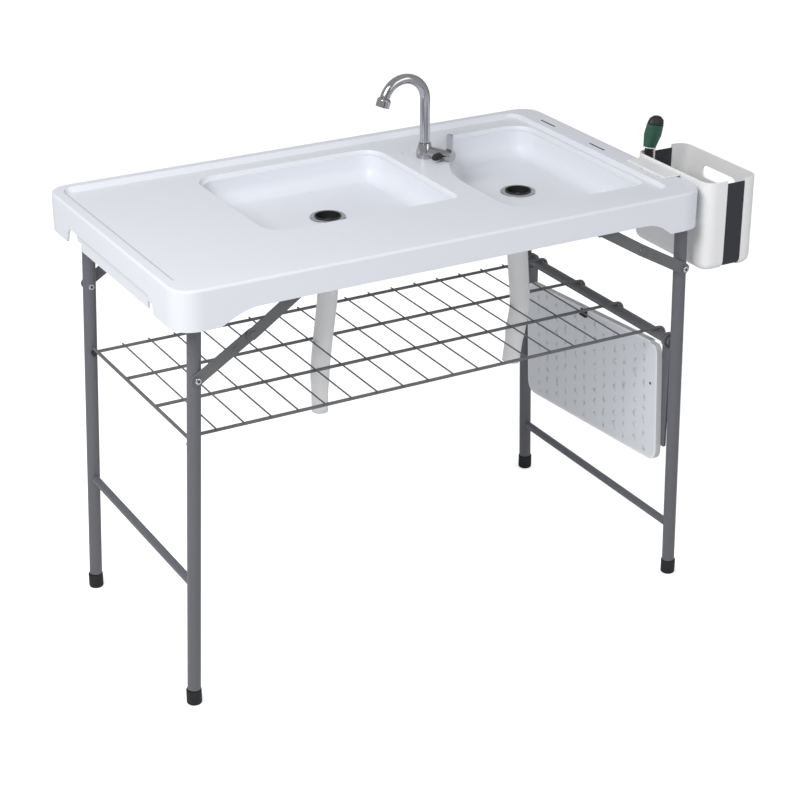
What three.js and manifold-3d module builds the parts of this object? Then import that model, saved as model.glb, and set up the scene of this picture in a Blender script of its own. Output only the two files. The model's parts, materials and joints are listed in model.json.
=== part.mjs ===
import * as THREE from 'three';
import { mergeVertices } from 'three/addons/utils/BufferGeometryUtils.js';
import Module from 'manifold-3d';

const wasm = await Module();
wasm.setup();

// Millimetres. X runs along the stand, Y from front to back, Z is up from the floor.
const clearance = 0.3;
const overrun = 8;

// Heights on the top are given from its underside, and places on it from its edges.
const top = {
  length: 1062,
  width: 608,
  undersideHeight: 795,
  rimRise: 27,
  deckRise: 18.5,
  cornerDrop: 46,
  archDrop: 21,
  endArchDrop: 16,
  skirtWall: 4,
  cornerRadius: 48,
  edgeRound: 5,
  rimLeft: 20,
  rimBack: 20,
  rimFront: 40,
  rimRight: 50,
  deckRadius: 34,
};

const halfLength = top.length / 2;
const halfWidth = top.width / 2;
const rimHeight = top.undersideHeight + top.rimRise;
const deckHeight = top.undersideHeight + top.deckRise;
const cornerHeight = top.undersideHeight - top.cornerDrop;

const arch = {
  leftFootInset: 76,
  leftShoulderInset: 128,
  rightShoulderInset: 109,
  rightFootInset: 76,
  round: 26,
  endInset: 114,
  endSlope: 14,
};

const endBand = {
  setBack: 10,
  wall: 4,
  drop: 52,
  inset: 151,
  tabWidth: 22,
  tabDepth: 6,
  tabHeight: 38,
};

const slot = { length: 52, width: 5, fromEnd: 32, fromFront: 135.5, middle: 8, fromBack: 119.5 };
const slotX = halfLength - slot.fromEnd;
const slotPlaces = [-halfWidth + slot.fromFront, slot.middle, halfWidth - slot.fromBack];

const basin = {
  floorDrop: 38,
  floorWall: 5,
  wall: 4,
  draft: 8,
  lip: 8,
  bendSteps: 3,
};
const basinFloor = top.undersideHeight - basin.floorDrop;

const leftBasin = {
  fromLeft: 275,
  fromRight: 412,
  fromFront: 214,
  fromBack: 72,
  nearRadius: 14,
  farRadius: 40,
};
const rightBasinReach = 349;
const rightBasin = {
  fromLeft: top.length - rightBasinReach,
  fromRight: 69,
  fromFront: 110,
  fromBack: 80,
  nearRadius: 16,
  farRadius: 46,
  cutAcross: 106,
  cutDown: 208,
};

const drain = {
  leftShift: [3.3, -4.2],
  rightShift: [1, 0.8],
  flangeRadius: 35.5,
  flangeRise: 2.4,
  throatRadius: 24.5,
  tubeRadius: 20,
  throatDepth: 14,
  tailDepth: 19,
  wall: 1.8,
};

const basket = {
  wall: 1.4,
  rise: 1.2,
  knobRadius: 4,
  knobHeight: 9,
  holeRadius: 2,
  holeCircle: 13,
  holes: 8,
};

const drainNut = { radius: 31, height: 9 };

// A hose is laid by shifts and shares of its fall above the shelf, then by shifts and drops below it.
const hose = {
  left: {
    radius: 18.5,
    above: [[-0.8, -1.3, 0.308], [-8.8, -9.8, 0.598]],
    intoCell: 21,
    below: [[-6.5, -0.5, 59], [-9, -1, 143]],
  },
  right: {
    radius: 19.5,
    above: [[0.5, 0.2, 0.308], [5, 0.2, 0.598]],
    intoCell: 22.5,
    below: [[-7.5, 0.5, 47], [-16.5, 2, 117]],
  },
  railGap: 1.2,
  sides: 12,
  stepLength: 40,
};

const faucet = {
  fromBasin: 6,
  fromBack: 160,
  baseRadius: 17,
  baseHeight: 11.5,
  neckRadius: 12,
  collarHeight: 29,
  shankRadius: 6.5,
  shankDrop: 50,
  barrelRadius: 10.5,
  barrelRise: 12.6,
  barrelLength: 52,
  barrelTurn: -66,
  recess: 1.5,
  recessHalfLength: 32,
  recessHalfWidth: 42,
  recessRadius: 12,
};

const spout = {
  tubeRadius: 9.75,
  bendRise: 115.5,
  bendRadius: 45.3,
  sweep: 162,
  aeratorRadius: 13.5,
  aeratorNeck: 10,
  aeratorStep: 4,
  aeratorLength: 18,
};
const lever = { hubLength: 14, bladeWidth: 12.5, bladeDepth: 5, flareHeight: 20, tipHeight: 44 };
const inlet = { radius: 7, length: 12, along: 42, collarRadius: 5 };
const faucetNut = { radius: 15, height: 8 };

const leg = { radius: 12.4, pivotDrop: 13, knuckleLength: 20 };
const pivotHeight = top.undersideHeight - leg.pivotDrop;
const leftLegs = { fromEnd: 57, fromSide: 63.5 };
const rightLegs = { fromEnd: 28.5, fromSide: 34.5 };
const leftFrame = {
  pivotX: -halfLength + leftLegs.fromEnd,
  slope: 0.0453,
  halfWidth: halfWidth - leftLegs.fromSide,
  crossbarHeight: 241,
  crossbarRadius: 7.8,
};
const rightFrame = {
  pivotX: halfLength - rightLegs.fromEnd,
  slope: -0.02565,
  halfWidth: halfWidth - rightLegs.fromSide,
  crossbarHeight: 108,
  crossbarRadius: 7.8,
};
const pivotBar = { radius: 10 };
const foot = { radius: 14.3, height: 29, bottomRound: 2 };

const pivotBracket = { halfLength: 17, depth: 16, drop: 16, inset: 14 };

const link = { width: 22, thickness: 2.5, rivetRadius: 4, headRadius: 6, headHeight: 1.8 };
const lockTab = { length: 7, width: 6, height: 2, fromKnee: 40 };
const leftBrace = { legDrop: 155, reach: 203, topDrop: 20, kneeShare: 0.4866, sag: 2.5 };
const rightBrace = { legDrop: 131, reach: -186.5, topDrop: 22, kneeShare: 0.528, sag: 2 };
const braceBracket = { halfWidth: 12, flange: 14, thickness: 2.5, cornerRound: 7 };

const hingeBar = { height: 503, radius: 10 };
const shelf = {
  railRadius: 3.3,
  wireRadius: 1.6,
  railInset: 30.5,
  innerRailShare: 0.3238,
  fromLegs: 11,
  firstWire: 54,
  wirePitch: 53,
  wireOverhang: 6,
  rodOverhang: 17.5,
  hookDrop: 2,
  railSides: 8,
  wireSides: 6,
};
const plug = { radius: 5, reach: 9.4 };

const panel = {
  inner: 12.6,
  thickness: 12,
  fromLegs: 35.5,
  topDrop: 27,
  height: 250,
  radius: 28,
  hangTilt: 3.5,
  notchWidth: 14,
  notchDrop: 19,
};
const arm = {
  fromLegs: 19.5,
  width: 24,
  thickness: 4,
  cornerRound: 5,
  eyeRadius: 15,
  eyeLength: 10,
  drop: 229,
  rivetRadius: 6,
  rivetHeight: 1.5,
  rivetShares: [0.3, 0.85],
};
const clip = { y: 25, drop: 38, width: 22, depth: 6, tall: 14, lip: 3 };

const bin = {
  standOff: 4,
  length: 118,
  rearDepth: 46,
  bandDepth: 40,
  fromFront: 1,
  width: 234,
  depth: 175,
  rimRise: 8,
  wall: 3.6,
  cornerRadius: 26,
  bottomRound: 16,
  bandInset: 1.6,
};
const handSlot = { length: 103, height: 25, drop: 39.5, endRadius: 12 };
const binHook = {
  fromFront: 86,
  length: 121,
  thickness: 3.6,
  lipThickness: 2.6,
  lipReach: 17,
  lipHalfLength: 24,
};

const brush = {
  fromRear: 27,
  fromBack: 23,
  rise: 4.5,
  toKnee: [-8, 5, 175],
  toTip: [12, -6, 67],
  capLength: 16,
  handleLength: 48,
  handleWidth: 30,
  handleDepth: 20,
  neckWidth: 21,
  neckDepth: 12,
  waistShare: 0.8,
  waistHeightShare: 0.75,
  collarShare: 0.9,
  bulgeHeightShare: 0.55,
  shoulderShare: 0.95,
  capWidthShare: 0.8,
  capHeightShare: 0.6,
  tipShare: 0.4,
};

function colour(hex, roughness, metalness) {
  return { color: hex, roughness, metalness };
}

const looks = {
  whitePlastic: colour(0xdfe2e6, 0.45, 0),
  palePlastic: colour(0xeceef0, 0.4, 0),
  darkPlastic: colour(0x33363f, 0.55, 0),
  blackPlastic: colour(0x1c1d1f, 0.5, 0),
  greenPlastic: colour(0x2f5d4b, 0.45, 0),
  chrome: colour(0xd0d3d6, 0.15, 1),
  steel: colour(0xb9bcc0, 0.3, 1),
  greyPaint: colour(0x63656c, 0.45, 0.2),
  darkPaint: colour(0x44464b, 0.45, 0.2),
  rubber: colour(0x1e2022, 0.8, 0),
  panelFabric: colour(0xbfc3c7, 0.7, 0),
};

// Closed solids for cutting and joining.

function solid(geometry) {
  const bare = geometry.index ? geometry.toNonIndexed() : geometry.clone();
  bare.deleteAttribute('normal');
  bare.deleteAttribute('uv');
  const merged = mergeVertices(bare);
  const place = merged.attributes.position;
  const corner = new THREE.Vector3();
  const first = new THREE.Vector3();
  const second = new THREE.Vector3();
  const faces = [];
  let volume = 0;
  for (let i = 0; i < merged.index.count; i += 3) {
    const face = [merged.index.getX(i), merged.index.getX(i + 1), merged.index.getX(i + 2)];
    if (new Set(face).size < face.length) continue;
    corner.fromBufferAttribute(place, face[0]);
    first.fromBufferAttribute(place, face[1]);
    second.fromBufferAttribute(place, face[2]);
    volume += corner.dot(first.cross(second));
    faces.push(face);
  }
  const outward = volume > 0 ? faces : faces.map((face) => face.reverse());
  const vertProperties = new Float32Array(place.array);
  const triVerts = new Uint32Array(outward.flat());
  return new wasm.Manifold(new wasm.Mesh({ numProp: 3, vertProperties, triVerts }));
}

function surface(manifold) {
  const mesh = manifold.getMesh();
  const geometry = new THREE.BufferGeometry();
  geometry.setAttribute('position', new THREE.BufferAttribute(new Float32Array(mesh.vertProperties), 3));
  geometry.setIndex(new THREE.BufferAttribute(new Uint32Array(mesh.triVerts), 1));
  geometry.computeVertexNormals();
  return geometry;
}

function joined(...geometries) {
  return geometries.map(solid).reduce((sum, next) => sum.add(next));
}

function piece(name, look, shapeOrSolid) {
  const geometry = shapeOrSolid.isBufferGeometry ? surface(solid(shapeOrSolid)) : surface(shapeOrSolid);
  const mesh = new THREE.Mesh(geometry, new THREE.MeshStandardMaterial(look));
  mesh.name = name;
  return mesh;
}

function placed(object, x, y, z) {
  object.position.set(x, y, z);
  return object;
}

// Outlines and simple bodies.

function roundedShape(corners) {
  const shape = new THREE.Shape();
  const count = corners.length;
  corners.forEach(([x, y, radius], index) => {
    const [backX, backY] = corners[(index + count - 1) % count];
    const [nextX, nextY] = corners[(index + 1) % count];
    const inShare = radius / Math.hypot(backX - x, backY - y);
    const outShare = radius / Math.hypot(nextX - x, nextY - y);
    const startX = x + (backX - x) * inShare;
    const startY = y + (backY - y) * inShare;
    if (index === 0) shape.moveTo(startX, startY);
    else shape.lineTo(startX, startY);
    if (radius > 0) {
      shape.quadraticCurveTo(x, y, x + (nextX - x) * outShare, y + (nextY - y) * outShare);
    }
  });
  shape.closePath();
  return shape;
}

function rectangle(x0, x1, y0, y1, nearRadius, farRadius = nearRadius) {
  const near = [[x0, y0, nearRadius], [x1, y0, nearRadius]];
  const far = [[x1, y1, farRadius], [x0, y1, farRadius]];
  return roundedShape([...near, ...far]);
}

function upright(shape, z0, z1, curveSegments = 6) {
  const settings = { depth: z1 - z0, bevelEnabled: false, curveSegments };
  return new THREE.ExtrudeGeometry(shape, settings).translate(0, 0, z0);
}

function box(x0, x1, y0, y1, z0, z1) {
  const geometry = new THREE.BoxGeometry(x1 - x0, y1 - y0, z1 - z0);
  return geometry.translate((x0 + x1) / 2, (y0 + y1) / 2, (z0 + z1) / 2);
}

function alongY(shape, y0, y1, curveSegments = 6) {
  const geometry = new THREE.ExtrudeGeometry(shape, { depth: y1 - y0, bevelEnabled: false, curveSegments });
  return geometry.rotateX(Math.PI / 2).translate(0, y1, 0);
}

function alongX(shape, x0, x1, curveSegments = 6) {
  const geometry = new THREE.ExtrudeGeometry(shape, { depth: x1 - x0, bevelEnabled: false, curveSegments });
  return geometry.rotateX(Math.PI / 2).rotateZ(Math.PI / 2).translate(x0, 0, 0);
}

function turned(profile, sides = 24) {
  const points = profile.map(([radius, height]) => new THREE.Vector2(radius, height));
  return new THREE.LatheGeometry(points, sides).rotateX(Math.PI / 2);
}

function post(radius, z0, z1, sides = 24) {
  const cylinder = new THREE.CylinderGeometry(radius, radius, z1 - z0, sides);
  return cylinder.rotateX(Math.PI / 2).translate(0, 0, (z0 + z1) / 2);
}

function rodAlongY(radius, y0, y1, sides = 24) {
  return new THREE.CylinderGeometry(radius, radius, y1 - y0, sides).translate(0, (y0 + y1) / 2, 0);
}

function circle(radius, sides) {
  const shape = new THREE.Shape();
  for (let i = 0; i < sides; i += 1) {
    const angle = (i / sides) * 2 * Math.PI;
    if (i === 0) shape.moveTo(radius * Math.cos(angle), radius * Math.sin(angle));
    else shape.lineTo(radius * Math.cos(angle), radius * Math.sin(angle));
  }
  shape.closePath();
  return shape;
}

// The moulded top with its two basins.

function endArch(reach, height) {
  return roundedShape([
    [-reach - arch.endSlope, cornerHeight - overrun, 0],
    [reach + arch.endSlope, cornerHeight - overrun, 0],
    [reach, height, arch.endSlope],
    [-reach, height, arch.endSlope],
  ]);
}

function basinSolids(corners) {
  const settings = { bevelEnabled: true, bevelSegments: basin.bendSteps, curveSegments: 6 };
  const grown = corners.map(([x, y, radius, outX, outY]) => {
    return [x + outX * basin.wall, y + outY * basin.wall, radius + basin.wall];
  });
  const outer = upright(roundedShape(grown), basinFloor - basin.floorWall, top.undersideHeight + clearance);
  const inner = new THREE.ExtrudeGeometry(roundedShape(corners), {
    ...settings,
    depth: overrun,
    bevelThickness: deckHeight - basinFloor,
    bevelSize: basin.draft,
    bevelOffset: -basin.draft,
  }).translate(0, 0, deckHeight);
  const lip = new THREE.ExtrudeGeometry(roundedShape(corners), {
    ...settings,
    depth: overrun,
    bevelThickness: basin.lip,
    bevelSize: basin.lip,
  }).translate(0, 0, deckHeight);
  const room = box(-halfLength, halfLength, -halfWidth, halfWidth, basinFloor, rimHeight + overrun);
  return { outer: solid(outer), hollow: solid(inner).add(solid(lip)).intersect(solid(room)) };
}

function basinSides({ fromLeft, fromRight, fromFront, fromBack }) {
  return {
    x0: -halfLength + fromLeft,
    x1: halfLength - fromRight,
    y0: -halfWidth + fromFront,
    y1: halfWidth - fromBack,
  };
}

function leftBasinCorners() {
  const { x0, x1, y0, y1 } = basinSides(leftBasin);
  const { nearRadius, farRadius } = leftBasin;
  return [
    [x0, y0, farRadius, -1, -1],
    [x1, y0, nearRadius, 1, -1],
    [x1, y1, farRadius, 1, 1],
    [x0, y1, farRadius, -1, 1],
  ];
}

function rightBasinCorners() {
  const { x0, x1, y0, y1 } = basinSides(rightBasin);
  const { nearRadius, farRadius, cutAcross, cutDown } = rightBasin;
  return [
    [x0, y0, farRadius, -1, -1],
    [x1, y0, nearRadius, 1, -1],
    [x1, y1, farRadius, 1, 1],
    [x0 + cutAcross, y1, nearRadius, -1, 1],
    [x0, y1 - cutDown, farRadius, -1, 0],
  ];
}

function basinMiddle(settings, [shiftX, shiftY]) {
  const { x0, x1, y0, y1 } = basinSides(settings);
  return [(x0 + x1) / 2 + shiftX, (y0 + y1) / 2 + shiftY];
}

const drainPlaces = {
  left: basinMiddle(leftBasin, drain.leftShift),
  right: basinMiddle(rightBasin, drain.rightShift),
};
const faucetX = basinSides(rightBasin).x0 + faucet.fromBasin;
const faucetY = halfWidth - faucet.fromBack;

function makeTop() {
  const skirtWall = top.skirtWall;
  const plan = (inset) => rectangle(
    -halfLength + inset,
    halfLength - inset,
    -halfWidth + inset,
    halfWidth - inset,
    top.cornerRadius - inset,
  );
  const body = new THREE.ExtrudeGeometry(plan(0), {
    depth: rimHeight - top.edgeRound - cornerHeight,
    bevelEnabled: true,
    bevelThickness: top.edgeRound,
    bevelSize: top.edgeRound,
    bevelOffset: -top.edgeRound,
    bevelSegments: 3,
    curveSegments: 8,
  }).translate(0, 0, cornerHeight);
  const archHeight = top.undersideHeight - top.archDrop;
  const frontArch = roundedShape([
    [-halfLength + arch.leftFootInset, cornerHeight - overrun, 0],
    [halfLength - arch.rightFootInset, cornerHeight - overrun, 0],
    [halfLength - arch.rightFootInset, cornerHeight, 0],
    [halfLength - arch.rightShoulderInset, archHeight, arch.round],
    [-halfLength + arch.leftShoulderInset, archHeight, arch.round],
    [-halfLength + arch.leftFootInset, cornerHeight, 0],
  ]);
  const endCut = endArch(halfWidth - arch.endInset, top.undersideHeight - top.endArchDrop);
  const below = box(-halfLength, halfLength, -halfWidth, halfWidth, cornerHeight - overrun, cornerHeight);
  let shell = solid(body)
    .subtract(solid(below))
    .subtract(solid(upright(plan(skirtWall), cornerHeight - overrun, top.undersideHeight)))
    .subtract(solid(alongY(frontArch, -halfWidth - overrun, halfWidth + overrun)))
    .subtract(solid(alongX(endCut, -halfLength - overrun, halfLength + overrun)));
  const deckPlan = rectangle(
    -halfLength + top.rimLeft,
    halfLength - top.rimRight,
    -halfWidth + top.rimFront,
    halfWidth - top.rimBack,
    top.deckRadius,
  );
  shell = shell.subtract(solid(upright(deckPlan, deckHeight, rimHeight + overrun)));

  const bandX = -halfLength + endBand.setBack;
  const bandReach = halfWidth - endBand.inset;
  const bandTop = top.undersideHeight + clearance;
  const bandBottom = top.undersideHeight - endBand.drop;
  const band = box(bandX, bandX + endBand.wall, -bandReach, bandReach, bandBottom, bandTop);
  shell = shell.add(solid(band));
  for (const side of [-1, 1]) {
    const tabY = side * (bandReach + endBand.tabWidth / 2 - clearance);
    const tab = box(
      bandX,
      bandX + endBand.tabDepth,
      tabY - endBand.tabWidth / 2,
      tabY + endBand.tabWidth / 2,
      top.undersideHeight - endBand.tabHeight,
      bandTop,
    );
    shell = shell.add(solid(tab));
  }

  const basins = [basinSolids(leftBasinCorners()), basinSolids(rightBasinCorners())];
  for (const each of basins) shell = shell.add(each.outer);
  for (const each of basins) shell = shell.subtract(each.hollow);
  for (const [x, y] of Object.values(drainPlaces)) {
    const holeBottom = basinFloor - basin.floorWall - overrun;
    const hole = post(drain.throatRadius + drain.wall + clearance, holeBottom, basinFloor + overrun, 32);
    shell = shell.subtract(solid(hole.translate(x, y, 0)));
  }
  for (const y of slotPlaces) {
    const cut = box(
      slotX - slot.width / 2,
      slotX + slot.width / 2,
      y - slot.length / 2,
      y + slot.length / 2,
      top.undersideHeight - overrun,
      rimHeight + overrun,
    );
    shell = shell.subtract(solid(cut));
  }
  const recess = rectangle(
    faucetX - faucet.recessHalfLength,
    faucetX + faucet.recessHalfLength,
    faucetY - faucet.recessHalfWidth,
    faucetY + faucet.recessHalfWidth,
    faucet.recessRadius,
  );
  const deckOnly = solid(upright(recess, deckHeight - faucet.recess, rimHeight));
  const shankHole = post(faucet.shankRadius + clearance, top.undersideHeight - overrun, rimHeight);
  shell = shell.subtract(deckOnly).subtract(solid(shankHole.translate(faucetX, faucetY, 0)));
  return piece('tabletop', looks.whitePlastic, shell);
}

// Drains: a flange with its strainer, a clamping nut and a hose in each basin.

function makeFlange(side) {
  const { flangeRadius, flangeRise, throatRadius, tubeRadius, throatDepth, tailDepth, wall } = drain;
  const underside = clearance;
  const profile = [
    [throatRadius, flangeRise],
    [flangeRadius - flangeRise, flangeRise],
    [flangeRadius, underside],
    [throatRadius + wall, underside],
    [throatRadius + wall, -throatDepth],
    [tubeRadius, -throatDepth],
    [tubeRadius, -throatDepth - tailDepth],
    [tubeRadius - wall, -throatDepth - tailDepth],
    [tubeRadius - wall, -throatDepth + wall],
    [throatRadius, -throatDepth + wall],
    [throatRadius, flangeRise],
  ];
  return piece(`${side}_drain_flange`, looks.steel, turned(profile));
}

function makeBasket(side) {
  const outer = drain.throatRadius - clearance;
  const seat = -drain.throatDepth + drain.wall + clearance;
  const brim = drain.flangeRise + clearance;
  const profile = [
    [0, seat],
    [outer - basket.wall, seat],
    [outer, seat + basket.wall],
    [outer, brim],
    [outer + basket.wall, brim],
    [outer + basket.wall, brim + basket.rise],
    [outer - basket.wall, brim + basket.rise],
    [outer - basket.wall, seat + basket.wall],
    [basket.knobRadius / 2, seat + basket.wall],
    [basket.knobRadius / 2, seat + basket.knobHeight / 2],
    [basket.knobRadius, seat + basket.knobHeight],
    [0, seat + basket.knobHeight],
  ];
  let cup = solid(turned(profile));
  for (let i = 0; i < basket.holes; i += 1) {
    const angle = (i / basket.holes) * 2 * Math.PI;
    const hole = post(basket.holeRadius, seat - overrun, seat + basket.wall + clearance, 6);
    hole.translate(basket.holeCircle * Math.cos(angle), basket.holeCircle * Math.sin(angle), 0);
    cup = cup.subtract(solid(hole));
  }
  return piece(`${side}_drain_basket`, looks.blackPlastic, cup);
}

function makeDrainNut(side) {
  const above = -basin.floorWall - clearance;
  const inner = drain.throatRadius + drain.wall + clearance;
  const profile = [
    [inner, above],
    [drainNut.radius, above],
    [drainNut.radius, above - drainNut.height],
    [inner, above - drainNut.height],
    [inner, above],
  ];
  return piece(`${side}_drain_nut`, looks.palePlastic, turned(profile));
}

function hosePoints(side) {
  const { radius, above, intoCell, below } = hose[side];
  const [x, y] = drainPlaces[side];
  const start = basinFloor - drain.throatDepth - drain.tailDepth - clearance;
  const cells = Math.floor((x - firstWireX) / shelf.wirePitch);
  const crossingX = firstWireX + cells * shelf.wirePitch + intoCell;
  const crossingY = Math.min(y, railPlaces[2] - shelf.railRadius - radius - hose.railGap);
  const points = [[x, y, start], [x, y, start - radius]];
  for (const [shiftX, shiftY, share] of above) {
    points.push([x + shiftX, y + shiftY, start - share * (start - railHeight)]);
  }
  points.push([crossingX, crossingY, railHeight]);
  for (const [shiftX, shiftY, drop] of below) {
    points.push([crossingX + shiftX, crossingY + shiftY, railHeight - drop]);
  }
  return points.map((point) => new THREE.Vector3(...point));
}

function makeHose(side) {
  const route = new THREE.CatmullRomCurve3(hosePoints(side), false, 'centripetal');
  const tube = new THREE.ExtrudeGeometry(circle(hose[side].radius, hose.sides), {
    steps: Math.round(route.getLength() / hose.stepLength),
    bevelEnabled: false,
    extrudePath: route,
  });
  return piece(`${side}_drain_hose`, looks.palePlastic, tube);
}

function makeDrains(stand) {
  for (const side of ['left', 'right']) {
    const [x, y] = drainPlaces[side];
    for (const make of [makeFlange, makeBasket, makeDrainNut]) {
      stand.add(placed(make(side), x, y, basinFloor));
    }
    stand.add(makeHose(side));
  }
}

// The faucet: body, swivel spout, lever, inlet connector and clamping nut.

class SpoutPath extends THREE.Curve {
  constructor(rise, radius, sweep) {
    super();
    this.rise = rise;
    this.radius = radius;
    this.sweep = sweep;
  }

  getPoint(t, target = new THREE.Vector3()) {
    const run = t * (this.rise + this.radius * this.sweep);
    if (run <= this.rise) return target.set(0, 0, run);
    const angle = (run - this.rise) / this.radius;
    const x = -this.radius * (1 - Math.cos(angle));
    return target.set(x, 0, this.rise + this.radius * Math.sin(angle));
  }
}

function makeFaucetBody() {
  const { baseRadius, baseHeight, neckRadius, collarHeight, shankRadius, shankDrop } = faucet;
  const { barrelRadius, barrelRise, barrelLength } = faucet;
  const collar = turned([
    [0, -shankDrop],
    [shankRadius, -shankDrop],
    [shankRadius, 0],
    [baseRadius, 0],
    [baseRadius, baseHeight],
    [neckRadius, collarHeight],
    [0, collarHeight],
  ]);
  const barrel = new THREE.CylinderGeometry(barrelRadius, barrelRadius, barrelLength, 24);
  barrel.rotateZ(-Math.PI / 2).translate(barrelLength / 2, 0, barrelRise);
  barrel.rotateZ(THREE.MathUtils.degToRad(faucet.barrelTurn));
  return piece('faucet_body', looks.chrome, joined(collar, barrel));
}

function makeSpout() {
  const base = deckHeight - faucet.recess + faucet.collarHeight + 2 * clearance;
  const sweep = THREE.MathUtils.degToRad(spout.sweep);
  const path = new SpoutPath(deckHeight + spout.bendRise - base, spout.bendRadius, sweep);
  const tube = new THREE.ExtrudeGeometry(circle(spout.tubeRadius, 16), {
    steps: 28,
    bevelEnabled: false,
    extrudePath: path,
  });
  const group = new THREE.Group();
  group.add(piece('spout', looks.chrome, tube));
  const tip = path.getPoint(1);
  const aerator = piece('aerator', looks.chrome, turned([
    [0, clearance],
    [spout.aeratorNeck, clearance],
    [spout.aeratorRadius, spout.aeratorStep],
    [spout.aeratorRadius, spout.aeratorLength],
    [0, spout.aeratorLength],
  ]));
  placed(aerator, tip.x, 0, tip.z);
  aerator.rotation.y = -sweep;
  group.add(aerator);
  return placed(group, faucetX, faucetY, base);
}

function makeLever() {
  const r = faucet.barrelRadius;
  const start = faucet.barrelLength + clearance;
  const hub = new THREE.CylinderGeometry(r, r, lever.hubLength, 24);
  hub.rotateZ(-Math.PI / 2).translate(start + lever.hubLength / 2, 0, 0);
  const middle = start + lever.hubLength / 2;
  const blade = roundedShape([
    [middle - lever.hubLength / 2, 0, 0],
    [middle + lever.hubLength / 2, 0, 0],
    [middle + lever.hubLength / 2, r, 0],
    [middle + lever.bladeWidth / 2, lever.flareHeight, 0],
    [middle + lever.bladeWidth / 2, lever.tipHeight, lever.bladeDepth],
    [middle - lever.bladeWidth / 2, lever.tipHeight, lever.bladeDepth],
    [middle - lever.bladeWidth / 2, lever.flareHeight, 0],
    [middle - lever.hubLength / 2, r, 0],
  ]);
  const handle = alongY(blade, -lever.bladeDepth / 2, lever.bladeDepth / 2);
  return piece('faucet_lever', looks.chrome, joined(hub, handle));
}

function makeInlet() {
  const stem = new THREE.CylinderGeometry(inlet.radius, inlet.radius, inlet.length, 20);
  stem.translate(0, -faucet.barrelRadius - clearance - inlet.length / 2, 0);
  const tip = new THREE.CylinderGeometry(inlet.collarRadius, inlet.collarRadius, inlet.length, 20);
  tip.translate(0, -faucet.barrelRadius - clearance - inlet.length, 0);
  return piece('inlet_connector', looks.blackPlastic, joined(stem, tip));
}

function makeFaucet(stand) {
  const seat = deckHeight - faucet.recess + clearance;
  const body = placed(makeFaucetBody(), faucetX, faucetY, seat);
  const nut = piece('faucet_nut', looks.steel, turned([
    [faucet.shankRadius + clearance, 0],
    [faucetNut.radius, 0],
    [faucetNut.radius, -faucetNut.height],
    [faucet.shankRadius + clearance, -faucetNut.height],
    [faucet.shankRadius + clearance, 0],
  ]));
  placed(nut, faucetX, faucetY, top.undersideHeight - clearance);
  const barrelGroup = placed(new THREE.Group(), faucetX, faucetY, seat + faucet.barrelRise);
  barrelGroup.rotation.z = THREE.MathUtils.degToRad(faucet.barrelTurn);
  barrelGroup.add(makeLever());
  barrelGroup.add(placed(makeInlet(), inlet.along, 0, 0));
  stand.add(body, makeSpout(), nut, barrelGroup);
}

// Leg frames, feet and folding braces.

function footX(frame) {
  return frame.pivotX - frame.slope * (pivotHeight - foot.height / 2);
}

function legX(frame, height) {
  return frame.pivotX - frame.slope * (pivotHeight - height);
}

function makeFrame(frame, side) {
  const group = placed(new THREE.Group(), frame.pivotX, 0, pivotHeight);
  const tilt = Math.atan(frame.slope);
  group.rotation.y = tilt;
  const slant = 1 / Math.cos(tilt);
  const seat = foot.height + clearance + leg.radius * Math.abs(frame.slope);
  const legLength = (pivotHeight - seat) * slant;
  for (const [row, sign] of [['front', -1], ['back', 1]]) {
    const tube = post(leg.radius, -legLength, 0);
    const knuckle = rodAlongY(leg.radius, -leg.knuckleLength / 2, leg.knuckleLength / 2);
    const legPiece = piece(`${side}_leg_${row}`, looks.greyPaint, joined(tube, knuckle));
    group.add(placed(legPiece, 0, sign * frame.halfWidth, 0));
  }
  const reach = frame.halfWidth - leg.radius - clearance;
  const crossRod = rodAlongY(frame.crossbarRadius, -reach, reach);
  const crossbar = piece(`${side}_crossbar`, looks.greyPaint, crossRod);
  group.add(placed(crossbar, 0, 0, -(pivotHeight - frame.crossbarHeight) * slant));
  group.add(piece(`${side}_pivot_bar`, looks.darkPaint, rodAlongY(pivotBar.radius, -reach, reach)));
  return { group, slant };
}

function makeFeet(stand) {
  for (const [side, frame] of [['left', leftFrame], ['right', rightFrame]]) {
    for (const [row, sign] of [['front', -1], ['back', 1]]) {
      const shoe = piece(`${side}_foot_${row}`, looks.rubber, turned([
        [0, 0],
        [foot.radius - foot.bottomRound, 0],
        [foot.radius, foot.bottomRound],
        [foot.radius, foot.height],
        [0, foot.height],
      ]));
      stand.add(placed(shoe, footX(frame), sign * frame.halfWidth, 0));
    }
  }
}

function makePivotBrackets(stand) {
  for (const [side, frame] of [['left', leftFrame], ['right', rightFrame]]) {
    const rise = top.undersideHeight - clearance - pivotHeight;
    const outer = frame.halfWidth - leg.radius - pivotBracket.inset;
    const inner = outer - pivotBracket.depth;
    for (const [row, sign] of [['front', -1], ['back', 1]]) {
      const y0 = sign > 0 ? inner : -outer;
      const profile = roundedShape([
        [-pivotBracket.halfLength, rise, 0],
        [-pivotBracket.halfLength, -pivotBracket.drop, pivotBracket.drop / 2],
        [pivotBracket.halfLength, -pivotBracket.drop, pivotBracket.drop / 2],
        [pivotBracket.halfLength, rise, 0],
      ]);
      const block = solid(alongY(profile, y0, y0 + pivotBracket.depth));
      const bore = rodAlongY(pivotBar.radius + clearance, y0 - overrun, y0 + pivotBracket.depth + overrun);
      const bracket = piece(`${side}_pivot_bracket_${row}`, looks.darkPaint, block.subtract(solid(bore)));
      stand.add(placed(bracket, frame.pivotX, 0, pivotHeight));
    }
  }
}

function capsule(length) {
  const r = link.width / 2;
  const shape = new THREE.Shape();
  shape.absarc(0, 0, r, Math.PI / 2, Math.PI * 1.5, false);
  shape.absarc(length, 0, r, -Math.PI / 2, Math.PI / 2, false);
  shape.closePath();
  return shape;
}

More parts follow.
